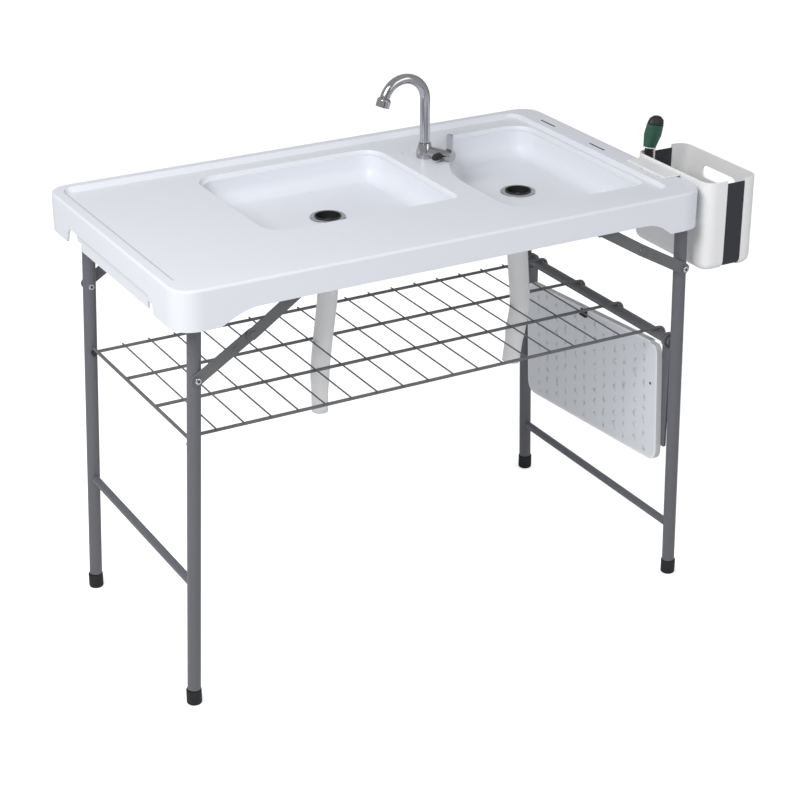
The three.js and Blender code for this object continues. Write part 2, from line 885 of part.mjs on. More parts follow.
function bracePoints(frame, brace) {
  const lowHeight = top.undersideHeight - brace.legDrop;
  const low = new THREE.Vector2(legX(frame, lowHeight), lowHeight);
  const high = new THREE.Vector2(frame.pivotX + brace.reach, top.undersideHeight - brace.topDrop);
  const run = high.clone().sub(low);
  const knee = low.clone().addScaledVector(run, brace.kneeShare);
  const down = new THREE.Vector2(Math.abs(run.y) * Math.sign(run.x), -Math.abs(run.x)).normalize();
  knee.addScaledVector(down, brace.sag);
  return { low, knee, high };
}

function laid(mesh, from, to, y) {
  placed(mesh, from.x, y, from.y);
  mesh.rotation.y = -Math.atan2(to.y - from.y, to.x - from.x);
  return mesh;
}

function makeBraces(stand) {
  for (const [side, frame, brace] of [['left', leftFrame, leftBrace], ['right', rightFrame, rightBrace]]) {
    const { low, knee, high } = bracePoints(frame, brace);
    const lowLength = low.distanceTo(knee);
    const highLength = knee.distanceTo(high);
    for (const [row, sign] of [['front', -1], ['back', 1]]) {
      const layer = (start, thickness) => {
        return sign > 0 ? [start, start + thickness] : [-start - thickness, -start];
      };
      const first = frame.halfWidth + leg.radius + clearance;
      const second = first + link.thickness + clearance;
      const outside = second + link.thickness + clearance;
      const lowParts = [
        alongY(capsule(lowLength), ...layer(first, link.thickness)),
        rodAlongY(link.headRadius, ...layer(first + link.thickness, link.headHeight), 16),
        rodAlongY(link.rivetRadius, ...layer(first + link.thickness, outside - first - link.thickness), 16)
          .translate(lowLength, 0, 0),
        rodAlongY(link.headRadius, ...layer(outside, link.headHeight), 16).translate(lowLength, 0, 0),
      ];
      const tabStart = lowLength - lockTab.fromKnee;
      const [tabY0, tabY1] = layer(first + link.thickness, lockTab.height);
      const tabReach = lockTab.width / 2;
      const tab = box(tabStart, tabStart + lockTab.length, tabY0, tabY1, -tabReach, tabReach);
      lowParts.push(tab);
      const lower = piece(`${side}_brace_lower_${row}`, looks.darkPaint, joined(...lowParts));
      const bar = solid(alongY(capsule(highLength), ...layer(second, link.thickness)));
      const bore = layer(second - overrun, link.thickness + 2 * overrun);
      const hole = solid(rodAlongY(link.rivetRadius + clearance, ...bore, 16));
      const upper = piece(`${side}_brace_upper_${row}`, looks.darkPaint, bar.subtract(hole));
      stand.add(laid(lower, low, knee, 0), laid(upper, knee, high, 0));

      const plate = roundedShape([
        [-braceBracket.halfWidth, 0, 0],
        [-braceBracket.halfWidth, -brace.topDrop - link.width / 2, braceBracket.cornerRound],
        [braceBracket.halfWidth, -brace.topDrop - link.width / 2, braceBracket.cornerRound],
        [braceBracket.halfWidth, 0, 0],
      ]);
      const web = alongY(plate, ...layer(first, link.thickness));
      const [flangeY0, flangeY1] = layer(first - braceBracket.flange, braceBracket.flange + link.thickness);
      const flange = box(
        -braceBracket.halfWidth,
        braceBracket.halfWidth,
        flangeY0,
        flangeY1,
        -braceBracket.thickness,
        0,
      );
      const hanger = piece(`${side}_brace_bracket_${row}`, looks.darkPaint, joined(web, flange));
      stand.add(placed(hanger, high.x, 0, top.undersideHeight - clearance));
    }
  }
}

// Wire shelf, held by plugs at the left and by the hinge bar at the right.

const barX = legX(rightFrame, hingeBar.height);
const railHeight = hingeBar.height + hingeBar.radius + clearance + shelf.railRadius;
const outerRail = leftFrame.halfWidth - shelf.railInset;
const innerRail = outerRail * shelf.innerRailShare;
const railPlaces = [-outerRail, -innerRail, innerRail, outerRail];
const shelfLeft = leftFrame.pivotX - shelf.fromLegs;
const firstWireX = shelfLeft + shelf.firstWire;

class RailPath extends THREE.Curve {
  constructor(run, radius, drop) {
    super();
    this.run = run;
    this.radius = radius;
    this.drop = drop;
  }

  getPoint(t, target = new THREE.Vector3()) {
    const bend = (this.radius * Math.PI) / 2;
    const distance = t * (this.run + bend + this.drop);
    if (distance <= this.run) return target.set(distance - this.run, 0, 0);
    if (distance <= this.run + bend) {
      const angle = (distance - this.run) / this.radius;
      return target.set(this.radius * Math.sin(angle), 0, -this.radius * (1 - Math.cos(angle)));
    }
    return target.set(this.radius, 0, -this.radius - (distance - this.run - bend));
  }
}

function makeShelf() {
  const hookRadius = hingeBar.radius + clearance + shelf.railRadius;
  const straight = rodAlongX(shelf.railRadius, shelfLeft, barX, shelf.railSides);
  const hook = new THREE.ExtrudeGeometry(circle(shelf.railRadius, shelf.railSides), {
    steps: 6,
    bevelEnabled: false,
    extrudePath: new RailPath(shelf.hookDrop, hookRadius, shelf.hookDrop),
  });
  const rodReach = outerRail + shelf.rodOverhang;
  const rod = rodAlongY(shelf.railRadius, -rodReach, rodReach, shelf.railSides);
  let grid = solid(rod.translate(shelfLeft, 0, 0));
  for (const y of railPlaces) {
    grid = grid.add(solid(straight.clone().translate(0, y, 0)));
    grid = grid.add(solid(hook.clone().translate(barX, y, 0)));
  }
  const wireReach = outerRail + shelf.wireOverhang;
  for (let x = firstWireX; x < barX - hingeBar.radius; x += shelf.wirePitch) {
    const wire = rodAlongY(shelf.wireRadius, -wireReach, wireReach, shelf.wireSides);
    grid = grid.add(solid(wire.translate(x, 0, shelf.railRadius)));
  }
  return placed(piece('wire_shelf', looks.darkPaint, grid), 0, 0, railHeight);
}

function rodAlongX(radius, x0, x1, sides = 24) {
  const cylinder = new THREE.CylinderGeometry(radius, radius, x1 - x0, sides);
  return cylinder.rotateZ(Math.PI / 2).translate((x0 + x1) / 2, 0, 0);
}

function makePlugs(leftGroup, slant) {
  const height = railHeight - shelf.railRadius - clearance - plug.radius;
  const outer = leftFrame.halfWidth - leg.radius - clearance;
  for (const [row, sign] of [['front', -1], ['back', 1]]) {
    const [y0, y1] = sign > 0 ? [outer - plug.reach, outer] : [-outer, -outer + plug.reach];
    const stub = piece(`shelf_plug_${row}`, looks.blackPlastic, rodAlongY(plug.radius, y0, y1, 16));
    leftGroup.add(placed(stub, 0, 0, -(pivotHeight - height) * slant));
  }
}

// Hinged side panel under the bar.

function makePanel(stand) {
  const group = placed(new THREE.Group(), barX, 0, hingeBar.height);
  const reach = rightFrame.halfWidth - panel.fromLegs;
  const back = panel.thickness - panel.inner;
  const outline = rectangle(-reach, reach, -panel.height / 2, panel.height / 2, panel.radius);
  const middle = -panel.topDrop - panel.height / 2;
  const blank = alongX(outline, -panel.inner, back).rotateX(-THREE.MathUtils.degToRad(panel.hangTilt));
  let board = solid(blank.translate(0, 0, middle));
  for (const y of railPlaces) {
    const notch = box(
      -panel.inner - overrun,
      back + overrun,
      y - panel.notchWidth / 2,
      y + panel.notchWidth / 2,
      -panel.notchDrop,
      0,
    );
    board = board.subtract(solid(notch));
  }
  group.add(piece('side_panel', looks.panelFabric, board));
  const armOuter = rightFrame.halfWidth - arm.fromLegs;
  const armX = back + clearance;
  const armBack = armX + arm.thickness;
  for (const [row, sign] of [['front', -1], ['back', 1]]) {
    const [y0, y1] = sign > 0 ? [armOuter - arm.width, armOuter] : [-armOuter, -armOuter + arm.width];
    const strap = roundedShape([
      [y0, -arm.drop, arm.cornerRound],
      [y1, -arm.drop, arm.cornerRound],
      [y1, -hingeBar.radius - clearance, 0],
      [y0, -hingeBar.radius - clearance, 0],
    ]);
    const [eyeY0, eyeY1] = sign > 0 ? [y1 - arm.eyeLength, y1] : [y0, y0 + arm.eyeLength];
    let blade = joined(alongX(strap, armX, armBack), rodAlongY(arm.eyeRadius, eyeY0, eyeY1));
    for (const share of arm.rivetShares) {
      const head = rodAlongX(arm.rivetRadius, armBack - clearance, armBack + arm.rivetHeight, 16);
      blade = blade.add(solid(head.translate(0, (y0 + y1) / 2, -arm.drop * share)));
    }
    const bore = rodAlongY(hingeBar.radius + clearance, y0 - overrun, y1 + overrun);
    group.add(piece(`panel_arm_${row}`, looks.greyPaint, blade.subtract(solid(bore))));
  }
  const face = -panel.inner - clearance;
  const clipY0 = clip.y - clip.width / 2;
  const clipY1 = clip.y + clip.width / 2;
  const clipZ0 = -clip.drop - clip.tall / 2;
  const catchParts = joined(
    box(face - clip.depth / 2, face, clipY0, clipY1, clipZ0, clipZ0 + clip.tall),
    box(face - clip.depth, face, clipY0, clipY1, clipZ0, clipZ0 + clip.lip),
  );
  group.add(piece('panel_clip', looks.darkPlastic, catchParts));
  stand.add(group);
}

// Folding bin with its hook, and the brush standing in it.

const binX0 = halfLength + bin.standOff;
const binX1 = binX0 + bin.length;
const rearEdge = binX0 + bin.rearDepth;
const bandEdge = rearEdge + bin.bandDepth;
const binFront = -halfWidth + bin.fromFront;
const binBack = binFront + bin.width;
const binRim = rimHeight + bin.rimRise;
const binBottom = binRim - bin.depth;

function tub(inset, height) {
  const round = bin.bottomRound;
  return solid(new THREE.ExtrudeGeometry(
    rectangle(binX0 + inset, binX1 - inset, binFront + inset, binBack - inset, bin.cornerRadius - inset),
    {
      depth: height - binBottom - inset - round,
      bevelEnabled: true,
      bevelThickness: round,
      bevelSize: round,
      bevelOffset: -round,
      bevelSegments: 3,
      curveSegments: 8,
    },
  ).translate(0, 0, binBottom + inset + round));
}

function binShell(outerInset) {
  const blankTop = binRim + overrun;
  const hollowTop = blankTop + overrun;
  const lidTop = hollowTop + bin.bottomRound;
  const lid = box(binX0 - overrun, binX1 + overrun, binFront - overrun, binBack + overrun, binRim, lidTop);
  return tub(outerInset, blankTop).subtract(tub(bin.wall, hollowTop)).subtract(solid(lid));
}

function binSlice(shell, x0, x1) {
  const layer = box(x0, x1, binFront - overrun, binBack + overrun, binBottom - overrun, binRim + overrun);
  return shell.intersect(solid(layer));
}

function makeBin(stand) {
  const rear = binSlice(binShell(0), binX0 - overrun, rearEdge);
  const band = binSlice(binShell(bin.bandInset), rearEdge + clearance, bandEdge - clearance);
  const front = binSlice(binShell(0), bandEdge, binX1 + overrun);
  const middle = (binFront + binBack) / 2;
  const hand = rectangle(
    middle - handSlot.length / 2,
    middle + handSlot.length / 2,
    binRim - handSlot.drop - handSlot.height / 2,
    binRim - handSlot.drop + handSlot.height / 2,
    handSlot.endRadius,
  );
  const opened = front.subtract(solid(alongX(hand, bandEdge + bin.wall, binX1 + overrun)));
  stand.add(piece('bin_rear_shell', looks.palePlastic, rear));
  stand.add(piece('bin_band', looks.darkPlastic, band));
  stand.add(piece('bin_outer_shell', looks.palePlastic, opened));

  const hookBottom = rimHeight + clearance;
  const hookFront = binFront + binHook.fromFront;
  const lipX = slotX - binHook.lipThickness / 2;
  const slotY = slotPlaces[0];
  const strip = box(
    lipX,
    binX0 - clearance,
    hookFront,
    hookFront + binHook.length,
    hookBottom,
    hookBottom + binHook.thickness,
  );
  const lip = box(
    lipX,
    lipX + binHook.lipThickness,
    slotY - binHook.lipHalfLength,
    slotY + binHook.lipHalfLength,
    hookBottom - binHook.lipReach,
    hookBottom + binHook.thickness,
  );
  stand.add(piece('bin_hook', looks.palePlastic, joined(strip, lip)));
}

function ovalBody(stations, depthShare) {
  return turned(stations, 16).scale(1, depthShare, 1);
}

function makeBrush(stand) {
  const group = new THREE.Group();
  placed(group, binX0 + brush.fromRear, binBack - brush.fromBack, binBottom + brush.rise);
  const upwards = new THREE.Vector3(0, 0, 1);
  const toKnee = new THREE.Vector3(...brush.toKnee);
  const toTip = new THREE.Vector3(...brush.toTip);
  const knee = toKnee.length();
  const length = toTip.length();
  const rootTurn = new THREE.Quaternion().setFromUnitVectors(upwards, toKnee.clone().normalize());
  const turn = new THREE.Quaternion().setFromUnitVectors(upwards, toTip.clone().normalize());
  const handleBottom = length - brush.capLength - brush.handleLength;
  const capBottom = length - brush.capLength;
  const wide = brush.handleWidth / 2;
  const neck = brush.neckWidth / 2;
  const waist = neck * brush.waistShare;
  const flatness = brush.neckDepth / brush.neckWidth;
  const shank = ovalBody([
    [0, 0],
    [waist, 0],
    [neck, neck],
    [neck, knee / 2],
    [waist, knee * brush.waistHeightShare],
    [waist, knee],
    [0, knee],
  ], flatness).applyQuaternion(rootTurn);
  const bend = ovalBody([
    [0, -waist],
    [waist, -waist],
    [neck * brush.collarShare, handleBottom - clearance],
    [0, handleBottom - clearance],
  ], flatness);
  bend.applyQuaternion(turn).translate(...brush.toKnee);
  const handle = ovalBody([
    [0, handleBottom],
    [neck, handleBottom],
    [wide, handleBottom + brush.handleLength * brush.bulgeHeightShare],
    [wide * brush.shoulderShare, capBottom - clearance],
    [0, capBottom - clearance],
  ], brush.handleDepth / brush.handleWidth);
  const cap = ovalBody([
    [0, capBottom],
    [wide * brush.shoulderShare, capBottom],
    [wide * brush.capWidthShare, capBottom + brush.capLength * brush.capHeightShare],
    [wide * brush.tipShare, length],
    [0, length],
  ], brush.handleDepth / brush.handleWidth);
  group.add(piece('brush_head', looks.blackPlastic, joined(shank, bend)));
  const grip = placed(new THREE.Group(), ...brush.toKnee);
  grip.quaternion.copy(turn);
  grip.add(piece('brush_handle', looks.greenPlastic, handle));
  grip.add(piece('brush_cap', looks.blackPlastic, cap));
  group.add(grip);
  stand.add(group);
}

// The whole stand, with its origin in the middle of its outline on the floor.

const stand = new THREE.Group();
stand.add(makeTop());
makeDrains(stand);
makeFaucet(stand);
const left = makeFrame(leftFrame, 'left');
const right = makeFrame(rightFrame, 'right');
const bar = piece('hinge_bar', looks.darkPaint, rodAlongY(
  hingeBar.radius,
  -rightFrame.halfWidth + leg.radius + clearance,
  rightFrame.halfWidth - leg.radius - clearance,
));
right.group.add(placed(bar, 0, 0, -(pivotHeight - hingeBar.height) * right.slant));
makePlugs(left.group, left.slant);
stand.add(left.group, right.group);
makeFeet(stand);
makePivotBrackets(stand);
makeBraces(stand);
stand.add(makeShelf());
makePanel(stand);
makeBin(stand);
makeBrush(stand);
stand.position.x = -(binX1 - halfLength) / 2;

const part = new THREE.Group();
part.add(stand);

export default part;
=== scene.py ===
import bpy
import bmesh
import json
import math
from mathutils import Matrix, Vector


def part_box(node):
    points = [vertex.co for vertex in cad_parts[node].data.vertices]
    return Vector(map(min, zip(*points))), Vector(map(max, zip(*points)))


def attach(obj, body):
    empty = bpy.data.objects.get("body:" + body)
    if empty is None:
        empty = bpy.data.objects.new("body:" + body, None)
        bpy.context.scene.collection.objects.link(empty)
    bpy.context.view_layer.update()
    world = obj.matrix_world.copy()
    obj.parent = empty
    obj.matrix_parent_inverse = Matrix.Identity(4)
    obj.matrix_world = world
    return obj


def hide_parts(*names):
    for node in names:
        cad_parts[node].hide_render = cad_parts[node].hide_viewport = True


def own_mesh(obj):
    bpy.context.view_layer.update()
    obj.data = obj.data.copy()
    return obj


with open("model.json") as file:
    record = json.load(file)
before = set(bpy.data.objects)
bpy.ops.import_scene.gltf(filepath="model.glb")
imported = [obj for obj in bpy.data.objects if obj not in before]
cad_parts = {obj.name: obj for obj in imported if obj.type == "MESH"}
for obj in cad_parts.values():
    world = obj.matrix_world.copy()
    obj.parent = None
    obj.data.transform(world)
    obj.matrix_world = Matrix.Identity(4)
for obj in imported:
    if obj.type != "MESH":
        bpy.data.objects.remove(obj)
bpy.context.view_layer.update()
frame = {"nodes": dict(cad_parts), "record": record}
record = frame["record"]
bodyOf = {node: body for body, nodes in record["behaviour"]["bodies"].items() for node in nodes}
scene = bpy.context.scene
scene.view_settings.view_transform = "Standard"

# camera, measured from the picture's own perspective
view = {"place": (-1.7616, -3.139, 2.0535), "elevation": 24.97, "azimuth": -29.18, "lens": 91.49,
        "sensor": 36, "farLimit": 30}


def setCamera():
    eye = bpy.data.cameras.new("camera")
    eye.lens = view["lens"]
    eye.sensor_width = view["sensor"]
    eye.clip_end = view["farLimit"]
    holder = bpy.data.objects.new("camera", eye)
    holder.location = view["place"]
    holder.rotation_euler = (math.radians(90 - view["elevation"]), 0, math.radians(view["azimuth"]))
    scene.collection.objects.link(holder)
    scene.camera = holder
    print("camera placed")


setCamera()


# small helpers for node trees
def addNode(tree, kind, values=None, **settings):
    node = tree.nodes.new(kind)
    for key, value in settings.items():
        setattr(node, key, value)
    for key, value in (values or {}).items():
        node.inputs[key].default_value = value
    return node


def mathNode(tree, operation, first, second=None, clamp=False):
    node = tree.nodes.new("ShaderNodeMath")
    node.operation = operation
    node.use_clamp = clamp
    for index, value in enumerate((first, second)):
        if value is None:
            continue
        if isinstance(value, (int, float)):
            node.inputs[index].default_value = value
        else:
            tree.links.new(value, node.inputs[index])
    return node.outputs[0]


def newGroup(name, inputs, outputs):
    tree = bpy.data.node_groups.new(name, "ShaderNodeTree")
    for label, kind, value in inputs:
        socket = tree.interface.new_socket(name=label, in_out="INPUT", socket_type=kind)
        socket.default_value = value
    for label, kind in outputs:
        tree.interface.new_socket(name=label, in_out="OUTPUT", socket_type=kind)
    return tree, tree.nodes.new("NodeGroupInput"), tree.nodes.new("NodeGroupOutput")


# colour that drifts a little, fine grain and faint scuffs, shared by every moulded or painted finish
surfaceNoise = {"cloud": {"Scale": 7.0, "Detail": 3.0, "Roughness": 0.55}, "fine": {"Detail": 2.0},
                "scuff": {"Scale": 60.0, "Detail": 5.0, "Roughness": 0.7}}
grainReach = 0.0006


def makeSurfaceGroup():
    tree, start, end = newGroup("mouldedSurface", [
        ("Color", "NodeSocketColor", (0.8, 0.8, 0.8, 1)),
        ("Drift", "NodeSocketFloat", 0.03),
        ("Roughness", "NodeSocketFloat", 0.45),
        ("Roughness Drift", "NodeSocketFloat", 0.08),
        ("Grain Scale", "NodeSocketFloat", 900.0),
        ("Grain Depth", "NodeSocketFloat", 0.05),
    ], [("Color", "NodeSocketColor"), ("Roughness", "NodeSocketFloat"), ("Normal", "NodeSocketVector")])
    link = tree.links.new
    place = addNode(tree, "ShaderNodeTexCoord")
    cloud, fine, scuff = (addNode(tree, "ShaderNodeTexNoise", surfaceNoise[kind])
                          for kind in ("cloud", "fine", "scuff"))
    for texture in (cloud, fine, scuff):
        link(place.outputs["Object"], texture.inputs["Vector"])
    link(start.outputs["Grain Scale"], fine.inputs["Scale"])
    centred = mathNode(tree, "SUBTRACT", cloud.outputs["Fac"], 0.5)
    shift = mathNode(tree, "MULTIPLY", centred, start.outputs["Drift"])
    brightness = mathNode(tree, "ADD", shift, 1.0)
    tint = addNode(tree, "ShaderNodeVectorMath", operation="SCALE")
    link(start.outputs["Color"], tint.inputs[0])
    link(brightness, tint.inputs["Scale"])
    link(tint.outputs[0], end.inputs["Color"])
    uneven = mathNode(tree, "SUBTRACT", scuff.outputs["Fac"], 0.5)
    spread = mathNode(tree, "MULTIPLY", uneven, start.outputs["Roughness Drift"])
    link(mathNode(tree, "ADD", spread, start.outputs["Roughness"], clamp=True), end.inputs["Roughness"])
    bump = addNode(tree, "ShaderNodeBump", {"Distance": grainReach})
    link(start.outputs["Grain Depth"], bump.inputs["Strength"])
    link(fine.outputs["Fac"], bump.inputs["Height"])
    link(bump.outputs["Normal"], end.inputs["Normal"])
    return tree


surfaceGroup = makeSurfaceGroup()


def finishMaterial(name, settings):
    material = bpy.data.materials.new(name)
    material.use_nodes = True
    tree = material.node_tree
    shader = tree.nodes["Principled BSDF"]
    surface = addNode(tree, "ShaderNodeGroup")
    surface.node_tree = surfaceGroup
    surface.inputs["Color"].default_value = (*settings["color"], 1)
    for key, label in (("drift", "Drift"), ("roughness", "Roughness"), ("roughnessDrift", "Roughness Drift"),
                       ("grainScale", "Grain Scale"), ("grainDepth", "Grain Depth")):
        if key in settings:
            surface.inputs[label].default_value = settings[key]
    tree.links.new(surface.outputs["Color"], shader.inputs["Base Color"])
    tree.links.new(surface.outputs["Roughness"], shader.inputs["Roughness"])
    tree.links.new(surface.outputs["Normal"], shader.inputs["Normal"])
    shader.inputs["Metallic"].default_value = settings.get("metallic", 0.0)
    shader.inputs["Coat Weight"].default_value = settings.get("coat", 0.0)
    if "through" in settings:
        shader.inputs["Subsurface Weight"].default_value = settings["through"]
        shader.inputs["Subsurface Radius"].default_value = settings["throughReach"]
        shader.inputs["Subsurface Scale"].default_value = settings["throughScale"]
    return material


finishes = {
    "white_top": {"color": (0.765, 0.785, 0.84), "drift": 0.02, "roughness": 0.42, "grainScale": 420.0,
                  "grainDepth": 0.12},
    "pale_plastic": {"color": (0.84, 0.84, 0.845), "drift": 0.02, "roughness": 0.36, "grainDepth": 0.03},
    "hose_plastic": {"color": (0.86, 0.86, 0.87), "drift": 0.05, "roughness": 0.5, "grainDepth": 0.04,
                     "through": 0.3, "throughReach": (0.01, 0.01, 0.012), "throughScale": 0.5},
    "dark_band": {"color": (0.018, 0.021, 0.029), "drift": 0.15, "roughness": 0.6, "grainDepth": 0.1},
    "black_plastic": {"color": (0.014, 0.014, 0.015), "drift": 0.2, "roughness": 0.5, "grainDepth": 0.08},
    "green_plastic": {"color": (0.022, 0.095, 0.06), "drift": 0.15, "roughness": 0.38, "grainDepth": 0.04},
    "chrome_metal": {"color": (0.5, 0.5, 0.515), "drift": 0.02, "roughness": 0.09, "roughnessDrift": 0.06,
                     "grainDepth": 0.0, "metallic": 1.0},
    "bright_steel": {"color": (0.6, 0.6, 0.615), "drift": 0.05, "roughness": 0.24, "roughnessDrift": 0.15,
                     "grainDepth": 0.05, "metallic": 1.0},
    "grey_paint": {"color": (0.118, 0.122, 0.14), "drift": 0.08, "roughness": 0.42, "grainScale": 1500.0,
                   "grainDepth": 0.1, "coat": 0.1},
    "dark_paint": {"color": (0.132, 0.136, 0.142), "drift": 0.1, "roughness": 0.45, "grainScale": 1500.0,
                   "grainDepth": 0.1},
    "foot_rubber": {"color": (0.006, 0.0065, 0.0075), "drift": 0.25, "roughness": 0.65, "grainDepth": 0.2},
}
materials = {slot: finishMaterial(slot, settings) for slot, settings in finishes.items()}


# painted shade: the top's colour is darkened inside the slots in the right rim; the share of the top's colour
# kept there, and the reach round them
slotShade = {"keep": 0.2, "reach": 0.0012, "belowRim": 0.0004}


def shadeSlots(material):
    tree = material.node_tree
    shader = tree.nodes["Principled BSDF"]
    plain = shader.inputs["Base Color"].links[0].from_socket
    place = addNode(tree, "ShaderNodeTexCoord")
    split = addNode(tree, "ShaderNodeSeparateXYZ")
    tree.links.new(place.outputs["Object"], split.inputs[0])
    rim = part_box("tabletop")[1].z - slotShade["belowRim"]
    mask = 0.0
    for opening in record["physics"]["openings"]:
        if not opening["name"].startswith("rim_slot"):
            continue
        low, high = opening["box_m"]
        inside = mathNode(tree, "LESS_THAN", split.outputs["Z"], rim)
        for axis, letter in enumerate("XY"):
            middle = (low[axis] + high[axis]) / 2
            half = (high[axis] - low[axis]) / 2 + slotShade["reach"]
            off = mathNode(tree, "ABSOLUTE", mathNode(tree, "SUBTRACT", split.outputs[letter], middle))
            inside = mathNode(tree, "MULTIPLY", inside, mathNode(tree, "LESS_THAN", off, half))
        mask = mathNode(tree, "ADD", inside, mask)
    # painted shade: inside the slots the top's colour is cut down to the kept share
    kept = mathNode(tree, "SUBTRACT", 1.0, mathNode(tree, "MULTIPLY", mask, 1 - slotShade["keep"]))
    tint = addNode(tree, "ShaderNodeVectorMath", operation="SCALE")
    tree.links.new(plain, tint.inputs[0])
    tree.links.new(kept, tint.inputs["Scale"])
    tree.links.new(tint.outputs[0], shader.inputs["Base Color"])


shadeSlots(materials["white_top"])


# pale board: rows of pressed marks inside a plain rounded border, with one small hole whose dark inside is
# painted shade
panelFinish = {"color": (0.73, 0.75, 0.79), "drift": 0.03, "roughness": 0.5, "grainDepth": 0.05,
               "mark": (0.4, 0.41, 0.44), "edge": (0.82, 0.825, 0.835),
               "pitchAcross": 0.07, "pitchDown": 0.0275, "markHalfWidth": 0.0034, "markHalfLength": 0.0085,
               "middle": (0.0, 0.351), "halfSize": (0.234, 0.125), "corner": 0.028, "tilt": 3.5,
               "border": 0.005, "plain": 0.011, "hole": (-0.2125, 0.036), "holeRadius": 0.0032,
               "holeShade": (0.03, 0.03, 0.035), "wander": 0.016, "slip": 0.9, "lean": 0.8,
               "markReach": 1.25, "markFade": 1.1, "speckFloor": 0.3, "speckGain": 3.2,
               "press": 0.35, "pressDepth": 0.001, "holePress": 2.0}
panelNoise = {"wobble": {"Scale": 95.0, "Detail": 2.0}, "slip": {"Scale": 28.0, "Detail": 1.0},
              "blot": {"Scale": 240.0, "Detail": 2.0}}


def makePanelMaterial():
    material = finishMaterial("pale_panel", panelFinish)
    tree = material.node_tree
    link = tree.links.new
    shader = tree.nodes["Principled BSDF"]
    surface = next(node for node in tree.nodes if node.type == "GROUP")
    place = addNode(tree, "ShaderNodeTexCoord")
    split = addNode(tree, "ShaderNodeSeparateXYZ")
    link(place.outputs["Object"], split.inputs[0])

    def noise(kind):
        texture = addNode(tree, "ShaderNodeTexNoise", panelNoise[kind])
        link(place.outputs["Object"], texture.inputs["Vector"])
        return texture.outputs["Fac"]

    def m(operation, first, second=None, clamp=False):
        return mathNode(tree, operation, first, second, clamp)

    def length(first, second):
        return m("SQRT", m("ADD", m("MULTIPLY", first, first), m("MULTIPLY", second, second)))

    # places on the board, measured along its own turned edges
    offY = m("SUBTRACT", split.outputs["Y"], panelFinish["middle"][0])
    offZ = m("SUBTRACT", split.outputs["Z"], panelFinish["middle"][1])
    cosine, sine = math.cos(math.radians(panelFinish["tilt"])), math.sin(math.radians(panelFinish["tilt"]))
    along = m("SUBTRACT", m("MULTIPLY", offY, cosine), m("MULTIPLY", offZ, sine))
    upward = m("ADD", m("MULTIPLY", offY, sine), m("MULTIPLY", offZ, cosine))
    overA = m("SUBTRACT", m("ABSOLUTE", along), panelFinish["halfSize"][0] - panelFinish["corner"])
    overU = m("SUBTRACT", m("ABSOLUTE", upward), panelFinish["halfSize"][1] - panelFinish["corner"])
    outside = length(m("MAXIMUM", overA, 0.0), m("MAXIMUM", overU, 0.0))
    inside = m("MINIMUM", m("MAXIMUM", overA, overU), 0.0)
    depth = m("SUBTRACT", panelFinish["corner"], m("ADD", outside, inside))

    drift = m("MULTIPLY", m("SUBTRACT", noise("wobble"), 0.5), panelFinish["wander"])
    column = m("DIVIDE", along, panelFinish["pitchAcross"] / 2)
    odd = m("ABSOLUTE", m("MODULO", m("FLOOR", column), 2.0))
    across = m("MULTIPLY", m("SUBTRACT", m("FRACT", column), 0.5), panelFinish["pitchAcross"] / 2)
    across = m("ADD", across, drift)
    lifted = m("ADD", m("DIVIDE", upward, panelFinish["pitchDown"]), m("MULTIPLY", odd, 0.5))
    lifted = m("ADD", lifted, m("MULTIPLY", noise("slip"), panelFinish["slip"]))
    down = m("MULTIPLY", m("SUBTRACT", m("FRACT", lifted), 0.5), panelFinish["pitchDown"])
    lean = m("ADD", across, m("MULTIPLY", m("MULTIPLY", m("ABSOLUTE", down), odd), panelFinish["lean"]))
    far = length(m("DIVIDE", lean, panelFinish["markHalfWidth"]),
                 m("DIVIDE", down, panelFinish["markHalfLength"]))
    speck = m("MULTIPLY", m("SUBTRACT", noise("blot"), panelFinish["speckFloor"]),
              panelFinish["speckGain"], True)
    core = m("MULTIPLY", m("SUBTRACT", panelFinish["markReach"], far), panelFinish["markFade"], True)
    mark = m("MULTIPLY", core, speck)
    mark = m("MULTIPLY", mark, m("GREATER_THAN", depth, panelFinish["plain"]))
    holeFar = length(m("SUBTRACT", along, panelFinish["hole"][0]),
                     m("SUBTRACT", upward, panelFinish["hole"][1]))
    hole = m("LESS_THAN", holeFar, panelFinish["holeRadius"])
    border = m("LESS_THAN", depth, panelFinish["border"])

    color = surface.outputs["Color"]
    # the hole's near-black colour is painted shade
    for mask, part in ((mark, "mark"), (border, "edge"), (hole, "holeShade")):
        blend = addNode(tree, "ShaderNodeMix", data_type="RGBA")
        blend.inputs["B"].default_value = (*panelFinish[part], 1)
        link(mask, blend.inputs["Factor"])
        link(color, blend.inputs["A"])
        color = blend.outputs["Result"]
    link(color, shader.inputs["Base Color"])
    pressed = {"Strength": panelFinish["press"], "Distance": panelFinish["pressDepth"]}
    press = addNode(tree, "ShaderNodeBump", pressed, invert=True)
    link(m("ADD", mark, m("MULTIPLY", hole, panelFinish["holePress"])), press.inputs["Height"])
    link(surface.outputs["Normal"], press.inputs["Normal"])
    link(press.outputs["Normal"], shader.inputs["Normal"])
    return material


materials["pale_panel"] = makePanelMaterial()
slotOf = {row["node"]: row["material_slot"] for row in record["subparts"]}
print("finishes made")


# floor, sky and lamps
stage = {"floor": (0.9, 0.9, 0.9), "floorGlow": 0.62, "sky": (0.985, 0.99, 1.0), "skyLight": 0.45,
         "card": (0.03, 0.03, 0.034), "white": 1.1, "floorSide": 14}
lamps = [
    {"name": "keyLamp", "place": (-2.25, -1.1, 2.7), "aim": (0, 0, 0.7), "size": 1.5, "energy": 69},
    {"name": "fillLamp", "place": (1.2, -3.0, 2.0), "aim": (0, 0, 0.6), "size": 2.0, "energy": 19},
]


# dark cards beside the view, seen only in the chrome
cards = [
    {"name": "rightCard", "centre": (3.2, 1.2, 1.2), "size": (1.2, 2.4), "turn": -60},
    {"name": "nearCard", "centre": (-0.6, -3.6, 1.0), "size": (0.7, 2.0), "turn": 0},
]


